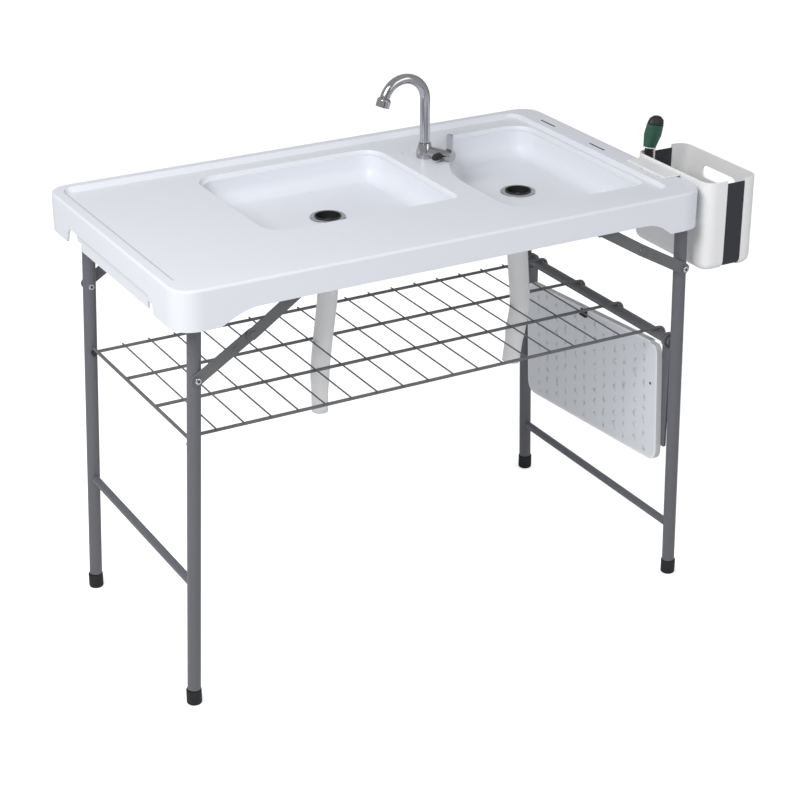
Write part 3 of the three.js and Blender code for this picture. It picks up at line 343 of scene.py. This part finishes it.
def addPlane(name, centre, sizeX, sizeY, material, rotation=(0, 0, 0)):
    mesh = bpy.data.meshes.new(name)
    corners = [(-sizeX / 2, -sizeY / 2, 0), (sizeX / 2, -sizeY / 2, 0),
               (sizeX / 2, sizeY / 2, 0), (-sizeX / 2, sizeY / 2, 0)]
    mesh.from_pydata(corners, [], [(0, 1, 2, 3)])
    plane = bpy.data.objects.new(name, mesh)
    plane.location = centre
    plane.rotation_euler = rotation
    plane.data.materials.append(material)
    scene.collection.objects.link(plane)


def plainMaterial(name, color, roughness=0.9):
    material = bpy.data.materials.new(name)
    material.use_nodes = True
    shader = material.node_tree.nodes["Principled BSDF"]
    shader.inputs["Base Color"].default_value = (*color, 1)
    shader.inputs["Roughness"].default_value = roughness
    return material


def setStage():
    paper = plainMaterial("floorPaper", stage["floor"])
    shader = paper.node_tree.nodes["Principled BSDF"]
    shader.inputs["Emission Color"].default_value = (1, 1, 1, 1)
    seen = addNode(paper.node_tree, "ShaderNodeLightPath")
    glow = mathNode(paper.node_tree, "MULTIPLY", seen.outputs["Is Camera Ray"], stage["floorGlow"])
    paper.node_tree.links.new(glow, shader.inputs["Emission Strength"])
    addPlane("floor", (0, 1, 0), stage["floorSide"], stage["floorSide"], paper)
    card = plainMaterial("darkCard", stage["card"])
    for row in cards:
        turned = (math.radians(90), 0, math.radians(row["turn"]))
        addPlane(row["name"], row["centre"], *row["size"], card, turned)
    world = bpy.data.worlds.new("studio")
    scene.world = world
    world.use_nodes = True
    tree = world.node_tree
    sky = tree.nodes["Background"]
    sky.inputs["Color"].default_value = (*stage["sky"], 1)
    sky.inputs["Strength"].default_value = stage["skyLight"]
    white = addNode(tree, "ShaderNodeBackground", {"Color": (1, 1, 1, 1), "Strength": stage["white"]})
    rays = addNode(tree, "ShaderNodeLightPath")
    pick = addNode(tree, "ShaderNodeMixShader")
    tree.links.new(rays.outputs["Is Camera Ray"], pick.inputs["Fac"])
    tree.links.new(sky.outputs[0], pick.inputs[1])
    tree.links.new(white.outputs[0], pick.inputs[2])
    tree.links.new(pick.outputs[0], tree.nodes["World Output"].inputs["Surface"])
    for lamp in lamps:
        light = bpy.data.lights.new(lamp["name"], "AREA")
        light.size = lamp["size"]
        light.energy = lamp["energy"]
        holder = bpy.data.objects.new(lamp["name"], light)
        holder.location = lamp["place"]
        aim = Vector(lamp["aim"]) - Vector(lamp["place"])
        holder.rotation_euler = aim.to_track_quat("-Z", "Y").to_euler()
        scene.collection.objects.link(holder)
    print("stage and lamps set")


setStage()


# drain hoses: soft tubes that hang free under the drains
hoses = {
    "left_drain_hose": {
        "route": [(-0.1262, 0.0668, 0.7237), (-0.1262, 0.0668, 0.7052), (-0.127, 0.0655, 0.66),
                  (-0.135, 0.057, 0.6), (-0.153, 0.045, 0.5166), (-0.1595, 0.0445, 0.4576),
                  (-0.162, 0.044, 0.3736)],
        "diameter": 0.037, "top": 0.0196, "bottom": 0.0172, "stepHeight": 0.43},
    "right_drain_hose": {
        "route": [(0.262, 0.0158, 0.7237), (0.262, 0.0158, 0.7042), (0.2625, 0.016, 0.66),
                  (0.267, 0.016, 0.6), (0.2725, 0.0158, 0.5166), (0.265, 0.0163, 0.4696),
                  (0.256, 0.0178, 0.3996)],
        "diameter": 0.039, "top": 0.0201, "bottom": 0.0187, "stepHeight": 0.453},
}


# wall of both hoses, and the soft step where the lower cuff begins at each hose's stepHeight
hoseWall = {"thickness": 0.0022, "turns": 40, "cuffSoftness": 0.0025, "cuffDrop": 0.0012,
            "sleeveRise": 0.0008}


def smoothRoute(points, perSpan=6):
    points = [Vector(p) for p in points]
    ends = [points[0] * 2 - points[1]] + points + [points[-1] * 2 - points[-2]]
    line = []
    for i in range(1, len(ends) - 2):
        a, b, c, d = ends[i - 1:i + 3]
        knots = [0.0]
        for first, second in ((a, b), (b, c), (c, d)):
            knots.append(knots[-1] + math.sqrt((second - first).length))
        for step in range(perSpan):
            t = knots[1] + (knots[2] - knots[1]) * step / perSpan
            ab = a.lerp(b, (t - knots[0]) / (knots[1] - knots[0]))
            bc = b.lerp(c, (t - knots[1]) / (knots[2] - knots[1]))
            cd = c.lerp(d, (t - knots[2]) / (knots[3] - knots[2]))
            low = ab.lerp(bc, (t - knots[0]) / (knots[2] - knots[0]))
            high = bc.lerp(cd, (t - knots[1]) / (knots[3] - knots[1]))
            line.append(low.lerp(high, (t - knots[1]) / (knots[2] - knots[1])))
    line.append(points[-1])
    return line


def makeHose(name, settings):
    line = smoothRoute(settings["route"])
    turns = hoseWall["turns"]
    top, bottom = line[0].z, line[-1].z
    mesh = bpy.data.meshes.new(name + "_soft")
    body = bmesh.new()

    def ring(centre, along, radius):
        side = along.cross(Vector((0, 1, 0))).normalized()
        up = side.cross(along).normalized()
        angles = [2 * math.pi * k / turns for k in range(turns)]
        return [body.verts.new(centre + (side * math.cos(a) + up * math.sin(a)) * radius) for a in angles]

    def radiusAt(z):
        share = (top - z) / (top - bottom)
        radius = settings["top"] + (settings["bottom"] - settings["top"]) * share
        cuff = 1 / (1 + math.exp((z - settings["stepHeight"]) / hoseWall["cuffSoftness"]))
        return radius - hoseWall["cuffDrop"] * cuff + hoseWall["sleeveRise"] * (1 - cuff)

    outer, inner = [], []
    for i, centre in enumerate(line):
        along = (line[min(i + 1, len(line) - 1)] - line[max(i - 1, 0)]).normalized()
        radius = radiusAt(centre.z)
        outer.append(ring(centre, along, radius))
        inner.append(ring(centre, along, radius - hoseWall["thickness"]))
    for rows, flip in ((outer, False), (inner, True)):
        for low, high in zip(rows, rows[1:]):
            for k in range(turns):
                face = [low[k], low[(k + 1) % turns], high[(k + 1) % turns], high[k]]
                body.faces.new(face[::-1] if flip else face)
    for first, second in ((outer[-1], inner[-1]), (inner[0], outer[0])):
        for k in range(turns):
            body.faces.new([first[k], first[(k + 1) % turns], second[(k + 1) % turns], second[k]])
    bmesh.ops.recalc_face_normals(body, faces=body.faces)
    body.to_mesh(mesh)
    body.free()
    mesh.polygons.foreach_set("use_smooth", [True] * len(mesh.polygons))
    hose = bpy.data.objects.new(name + "_soft", mesh)
    hose.data.materials.append(materials["hose_plastic"])
    scene.collection.objects.link(hose)
    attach(hose, bodyOf[name])
    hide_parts(name)
    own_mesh(hose)


for hoseName, hoseSettings in hoses.items():
    makeHose(hoseName, hoseSettings)


# carried-over pieces get softened edges, smooth shading and their finish: bevel width, least edge angle
softEdge = {
    "tabletop": (0.0038, 32), "bin_rear_shell": (0.0012, 32), "bin_outer_shell": (0.0012, 32),
    "bin_band": (0.0008, 32), "bin_hook": (0.001, 32), "side_panel": (0.004, 32), "faucet_body": (0.0008, 32),
    "spout": (0.0006, 40), "faucet_lever": (0.0012, 32), "aerator": (0.001, 32),
    "inlet_connector": (0.0008, 32), "brush_cap": (0.002, 32), "brush_handle": (0.001, 32),
    "brush_head": (0.001, 32), "panel_clip": (0.0008, 32), "wire_shelf": (0.0, 75),
}
softSome = (("_flange", 0.0006, 40), ("_basket", 0.0004, 50), ("_nut", 0.0006, 32), ("_foot_", 0.001, 32),
            ("_leg_", 0.0008, 32), ("_brace_lower_", 0.0005, 40), ("_brace_upper_", 0.0005, 40),
            ("_brace_bracket_", 0.0006, 32), ("_pivot_bracket_", 0.0008, 32), ("panel_arm_", 0.0008, 32),
            ("_bar", 0.0006, 32), ("_crossbar", 0.0006, 32), ("shelf_plug_", 0.0008, 32))


def softFor(name):
    if name in softEdge:
        return softEdge[name]
    for part, width, angle in softSome:
        if part in name:
            return width, angle
    return None


# narrow features of the top take only a share of its bevel: the rim slots and the shallow seat of the faucet
fineZones = [((0.428, -0.3, 0.7), (0.448, 0.3, 0.83)), ((0.088, 0.095, 0.79), (0.168, 0.195, 0.816))]
fineShare = 0.2


# the basins' walls run into their floors in a wide round, which takes the place of the ring of edges
# just above the floors; heights, radius and reaches in metres, the least bend of a foot edge in radians
basinRound = {"floor": 0.757, "ring": 0.7646, "near": 0.0006, "radius": 0.02, "steps": 7, "holeReach": 0.04,
              "shortest": 0.0045, "leastAngle": 0.5, "leastUpward": 0.9}


# closed loops of points, each counterclockwise from above, the longest first
def edgeLoops(edges):
    left = list(edges)
    loops = []
    while left:
        edge = left.pop()
        loop = [edge.verts[0], edge.verts[1]]
        while loop[-1] is not loop[0]:
            edge = next(other for other in loop[-1].link_edges if other in left)
            left.remove(edge)
            loop.append(edge.other_vert(loop[-1]))
        loop.pop()
        area = sum(a.co.x * b.co.y - b.co.x * a.co.y for a, b in zip(loop, loop[1:] + loop[:1]))
        loops.append(loop if area > 0 else loop[::-1])
    return sorted(loops, key=len, reverse=True)


# the part of a loop from one of its points on to another
def pathRound(loop, first, last):
    start, end = loop.index(first), loop.index(last)
    return loop[start:end + 1] if start < end else loop[start:] + loop[:end + 1]


def isFloor(face):
    off = max(abs(vert.co.z - basinRound["floor"]) for vert in face.verts)
    return face.normal.z > basinRound["leastUpward"] and off < basinRound["near"]


# a basin floor is laid anew as two faces that meet before and behind its drain
def relayFloor(body, drain, other):
    def mine(face):
        middle = face.calc_center_median().xy
        return isFloor(face) and (middle - drain.xy).length < (middle - other.xy).length

    faces = [face for face in body.faces if mine(face)]
    inside = set(faces)
    edges = [edge for edge in body.edges if any(face in inside for face in edge.link_faces)]
    rim = [edge for edge in edges if sum(face in inside for face in edge.link_faces) == 1]
    across = [edge for edge in edges if edge not in rim]
    bmesh.ops.delete(body, geom=faces, context="FACES_ONLY")
    bmesh.ops.delete(body, geom=across, context="EDGES")
    outer, hole = edgeLoops(rim)[:2]
    if (outer[0].co.xy - drain.xy).length < (hole[0].co.xy - drain.xy).length:
        outer, hole = hole, outer

    def nearest(loop, y):
        return max(loop, key=lambda vert: (vert.co.xy - drain.xy).normalized().y * y)

    for first, last in ((-1, 1), (1, -1)):
        wall = pathRound(outer, nearest(outer, first), nearest(outer, last))
        ring = pathRound(hole, nearest(hole, first), nearest(hole, last))
        body.faces.new(wall + ring[::-1])
    print("floor laid anew", len(faces), len(outer), len(hole))


# the edges between a basin's floor and its walls
def footOf(body, drains):
    foot = []
    for edge in body.edges:
        away = min((edge.verts[0].co.xy - drain.xy).length for drain in drains)
        floors = sum(isFloor(face) for face in edge.link_faces)
        bent = edge.calc_face_angle(0.0) > basinRound["leastAngle"]
        if floors == 1 and bent and away > basinRound["holeReach"]:
            foot.append(edge)
    return foot


def roundBasinFloors(body):
    def level(edge, height):
        return all(abs(vert.co.z - height) < basinRound["near"] for vert in edge.verts)

    ring = [edge for edge in body.edges if level(edge, basinRound["ring"])]
    bmesh.ops.dissolve_edges(body, edges=ring, use_verts=True)
    drains = [sum(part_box(f"{side}_drain_flange"), Vector()) / 2 for side in ("left", "right")]
    short = [edge for edge in footOf(body, drains) if edge.calc_length() < basinRound["shortest"]]
    bmesh.ops.collapse(body, edges=short)
    relayFloor(body, drains[0], drains[1])
    relayFloor(body, drains[1], drains[0])
    body.normal_update()
    foot = footOf(body, drains)
    bmesh.ops.bevel(body, geom=foot, offset=basinRound["radius"], segments=basinRound["steps"], profile=0.5,
                    affect="EDGES", clamp_overlap=False)
    print("basin foot edges", len(ring), len(short), len(foot))


# the step from the rim down to the deck becomes a slope: the deck's outline, and how far its foot moves in
deckStep = {"low": (-0.572, -0.264), "high": (0.42, 0.284), "corner": 0.034, "height": 0.8135, "reach": 0.011,
            "rightShare": 0.4, "near": 0.0008}


def slopeDeckStep(body):
    low = Vector(deckStep["low"]) + Vector((deckStep["corner"],) * 2)
    high = Vector(deckStep["high"]) - Vector((deckStep["corner"],) * 2)
    moved = 0
    for vert in body.verts:
        if abs(vert.co.z - deckStep["height"]) > deckStep["near"] / 2:
            continue
        core = Vector((min(max(vert.co.x, low.x), high.x), min(max(vert.co.y, low.y), high.y)))
        out = vert.co.xy - core
        if abs(out.length - deckStep["corner"]) > deckStep["near"]:
            continue
        out.normalize()
        reach = deckStep["reach"] * (1 - (1 - deckStep["rightShare"]) * max(out.x, 0))
        vert.co.x -= out.x * reach
        vert.co.y -= out.y * reach
        moved += 1
    print("deck step points", moved)


# the soft band of the bin ends a little below the rims of its two shells
bandDrop = {"by": 0.006, "near": 0.001}


def lowerBandTop(body):
    top = max(vert.co.z for vert in body.verts)
    for vert in body.verts:
        if vert.co.z > top - bandDrop["near"]:
            vert.co.z -= bandDrop["by"]


# the band's piece gets a mesh of its own
def squashBand(piece):
    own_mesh(piece)


# the grip of the brush is fuller than its plain solid
brushGrip = {"direction": (12, -6, 67), "full": 1.28, "near": 0.0006}


def gripAxis():
    handle = frame["nodes"]["brush_handle"]
    along = Vector(brushGrip["direction"]).normalized()
    points = [vert.co for vert in handle.data.vertices]
    lowest = min(point.dot(along) for point in points)
    foot = [point for point in points if point.dot(along) < lowest + brushGrip["near"]]
    return sum(foot, Vector()) / len(foot), along


def fillGrip(body):
    foot, along = gripAxis()
    for vert in body.verts:
        middle = foot + along * (vert.co - foot).dot(along)
        vert.co = middle + (vert.co - middle) * brushGrip["full"]


def bevelShare(name, edge):
    if name != "tabletop":
        return 1.0
    for low, high in fineZones:
        if all(low[k] <= vert.co[k] <= high[k] for vert in edge.verts for k in range(3)):
            return fineShare
    return 1.0


# the changes that a piece gets beyond its softened edges
reshaped = {"tabletop": (roundBasinFloors, slopeDeckStep), "bin_band": (lowerBandTop,),
            "brush_handle": (fillGrip,), "brush_cap": (fillGrip,)}
softening = {"weld": 0.00002, "flat": 0.6, "steps": 3, "faceWeight": 80}


def soften(name, width, angle):
    source = frame["nodes"][name]
    mesh = source.data.copy()
    mesh.materials.clear()
    body = bmesh.new()
    body.from_mesh(mesh)
    bmesh.ops.remove_doubles(body, verts=body.verts, dist=softening["weld"])
    flat = math.radians(softening["flat"])
    bmesh.ops.dissolve_limit(body, angle_limit=flat, verts=body.verts, edges=body.edges)
    for change in reshaped.get(name, ()):
        change(body)
    for face in body.faces:
        face.smooth = True
    weight = body.edges.layers.float.new("bevel_weight_edge")
    for edge in body.edges:
        sharp = edge.calc_face_angle(0.0) > math.radians(angle)
        edge[weight] = bevelShare(name, edge) if sharp else 0.0
        edge.smooth = width > 0 or not sharp
    body.to_mesh(mesh)
    body.free()
    piece = bpy.data.objects.new(name + "_finish", mesh)
    scene.collection.objects.link(piece)
    piece.data.materials.append(materials[slotOf[name]])
    if width > 0:
        bevel = piece.modifiers.new("softEdge", "BEVEL")
        bevel.width = width
        bevel.segments = softening["steps"]
        bevel.limit_method = "WEIGHT"
        bevel.miter_outer = "MITER_ARC"
        level = piece.modifiers.new("evenShade", "WEIGHTED_NORMAL")
        level.keep_sharp = True
        level.weight = softening["faceWeight"]
    split = piece.modifiers.new("triangles", "TRIANGULATE")
    split.keep_custom_normals = True
    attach(piece, bodyOf[name])
    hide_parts(name)
    if name == "bin_band":
        squashBand(piece)


for node, nodeObject in frame["nodes"].items():
    if node in hoses:
        continue
    soft = softFor(node)
    if soft:
        soften(node, *soft)
    else:
        nodeObject.data.materials.clear()
        nodeObject.data.materials.append(materials[slotOf[node]])
        print("left as built:", node)
print("edges softened")


# small fittings the CAD leaves out: bright rivet heads, each with a dark disc of painted shade for its hollow
# end
fittings = {"legRadius": 0.0124, "rivetRadius": 0.006, "rivetRise": 0.0013, "sink": 0.0004,
            "boreShadeRadius": 0.0026, "boreShadeRise": 0.0003, "boreShadeSeatShare": 0.85}


def domeMesh(name, radius, rise, turns=24, rings=4):
    mesh = bpy.data.meshes.new(name)
    body = bmesh.new()
    rows = []
    for k in range(rings):
        angle = math.pi / 2 * k / rings
        rows.append([body.verts.new((radius * math.cos(angle) * math.cos(2 * math.pi * j / turns),
                                     radius * math.cos(angle) * math.sin(2 * math.pi * j / turns),
                                     rise * math.sin(angle))) for j in range(turns)])
    for low, high in zip(rows, rows[1:]):
        for j in range(turns):
            body.faces.new((low[j], low[(j + 1) % turns], high[(j + 1) % turns], high[j]))
    peak = body.verts.new((0, 0, rise))
    for j in range(turns):
        body.faces.new((rows[-1][j], rows[-1][(j + 1) % turns], peak))
    body.faces.new([rows[0][j] for j in reversed(range(turns))])
    body.to_mesh(mesh)
    body.free()
    mesh.polygons.foreach_set("use_smooth", [len(face.vertices) < 5 for face in mesh.polygons])
    return mesh


def addFitting(name, mesh, centre, along, body, slot):
    fitting = bpy.data.objects.new(name, mesh)
    fitting.location = centre
    fitting.rotation_mode = "QUATERNION"
    fitting.rotation_quaternion = Vector(along).to_track_quat("Z", "Y")
    fitting.data.materials.append(materials[slot])
    scene.collection.objects.link(fitting)
    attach(fitting, body)
    return fitting


def addRivet(name, centre, along, body):
    head = domeMesh(name, fittings["rivetRadius"], fittings["rivetRise"] + fittings["sink"])
    addFitting(name, head, centre, along, body, "bright_steel")
    # a dark disc on the rivet is painted shade that stands for its hollow end
    boreShade = domeMesh(name + "_bore_shade", fittings["boreShadeRadius"], fittings["boreShadeRise"])
    seat = fittings["rivetRise"] + fittings["sink"] * fittings["boreShadeSeatShare"]
    crown = Vector(centre) + Vector(along) * seat
    addFitting(name + "_bore_shade", boreShade, crown, along, body, "black_plastic")


def addRivets():
    joints = {joint["name"]: joint for joint in record["behaviour"]["joints"]}
    count = 0
    for side in ("left", "right"):
        for row, sign in (("front", -1), ("back", 1)):
            for part in ("lower", "upper"):
                node = f"{side}_brace_{part}_{row}"
                low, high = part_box(node)
                x, _, z = joints[f"{side}_{part}_brace_fold"]["pos_m"]
                y = (low[1] + fittings["sink"]) if sign < 0 else (high[1] - fittings["sink"])
                addRivet(node + "_rivet", (x, y, z), (0, sign, 0), bodyOf[node])
                count += 1
                if part == "lower":
                    leg = f"{side}_leg_{row}"
                    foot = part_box(f"{side}_foot_{row}")
                    inner = (foot[0].y + foot[1].y) / 2 - sign * (fittings["legRadius"] - fittings["sink"])
                    addRivet(leg + "_rivet", (x, inner, z), (0, -sign, 0), bodyOf[leg])
                    count += 1
    print("rivets", count)


addRivets()


# pale ring at the foot of the brush handle and ribs on the neck below it
brushRings = {"neckDirection": (-8, 5, 175), "toKnee": 0.0043, "ring": (0.0137, 0.0092, 0.001),
              "ringRise": 0.0012, "rib": (0.0095, 0.0055, 0.0009), "ribs": 4, "ribPitch": 0.0042,
              "firstRib": 0.0025}


def ovalRing(name, wide, deep, thick, turns=40, sides=8):
    mesh = bpy.data.meshes.new(name)
    body = bmesh.new()
    rows = []
    for j in range(turns):
        angle = 2 * math.pi * j / turns
        outward = Vector((math.cos(angle) * deep, math.sin(angle) * wide, 0)).normalized()
        centre = Vector((wide * math.cos(angle), deep * math.sin(angle), 0))
        rows.append([])
        for k in range(sides):
            turn = 2 * math.pi * k / sides
            lift = Vector((0, 0, thick * math.sin(turn)))
            rows[-1].append(body.verts.new(centre + outward * thick * math.cos(turn) + lift))
    for j in range(turns):
        for k in range(sides):
            first, second = rows[j], rows[(j + 1) % turns]
            body.faces.new((first[k], second[k], second[(k + 1) % sides], first[(k + 1) % sides]))
    bmesh.ops.recalc_face_normals(body, faces=body.faces)
    body.to_mesh(mesh)
    body.free()
    mesh.polygons.foreach_set("use_smooth", [True] * len(mesh.polygons))
    return mesh


def addBrushRings():
    centre, along = gripAxis()
    neck = Vector(brushRings["neckDirection"]).normalized()
    knee = centre - along * brushRings["toKnee"]
    places = [("brush_ring", "ring", centre + along * brushRings["ringRise"], along, "pale_plastic")]
    for k in range(brushRings["ribs"]):
        down = brushRings["firstRib"] + k * brushRings["ribPitch"]
        places.append((f"brush_rib_{k}", "rib", knee - neck * down, neck, "black_plastic"))
    for name, size, place, turn, slot in places:
        ring = addFitting(name, ovalRing(name, *brushRings[size]), place, turn, "brush", slot)
        ring.rotation_quaternion = Vector((0, 0, 1)).rotation_difference(turn)
    print("brush rings", [round(value, 4) for value in centre])


addBrushRings()
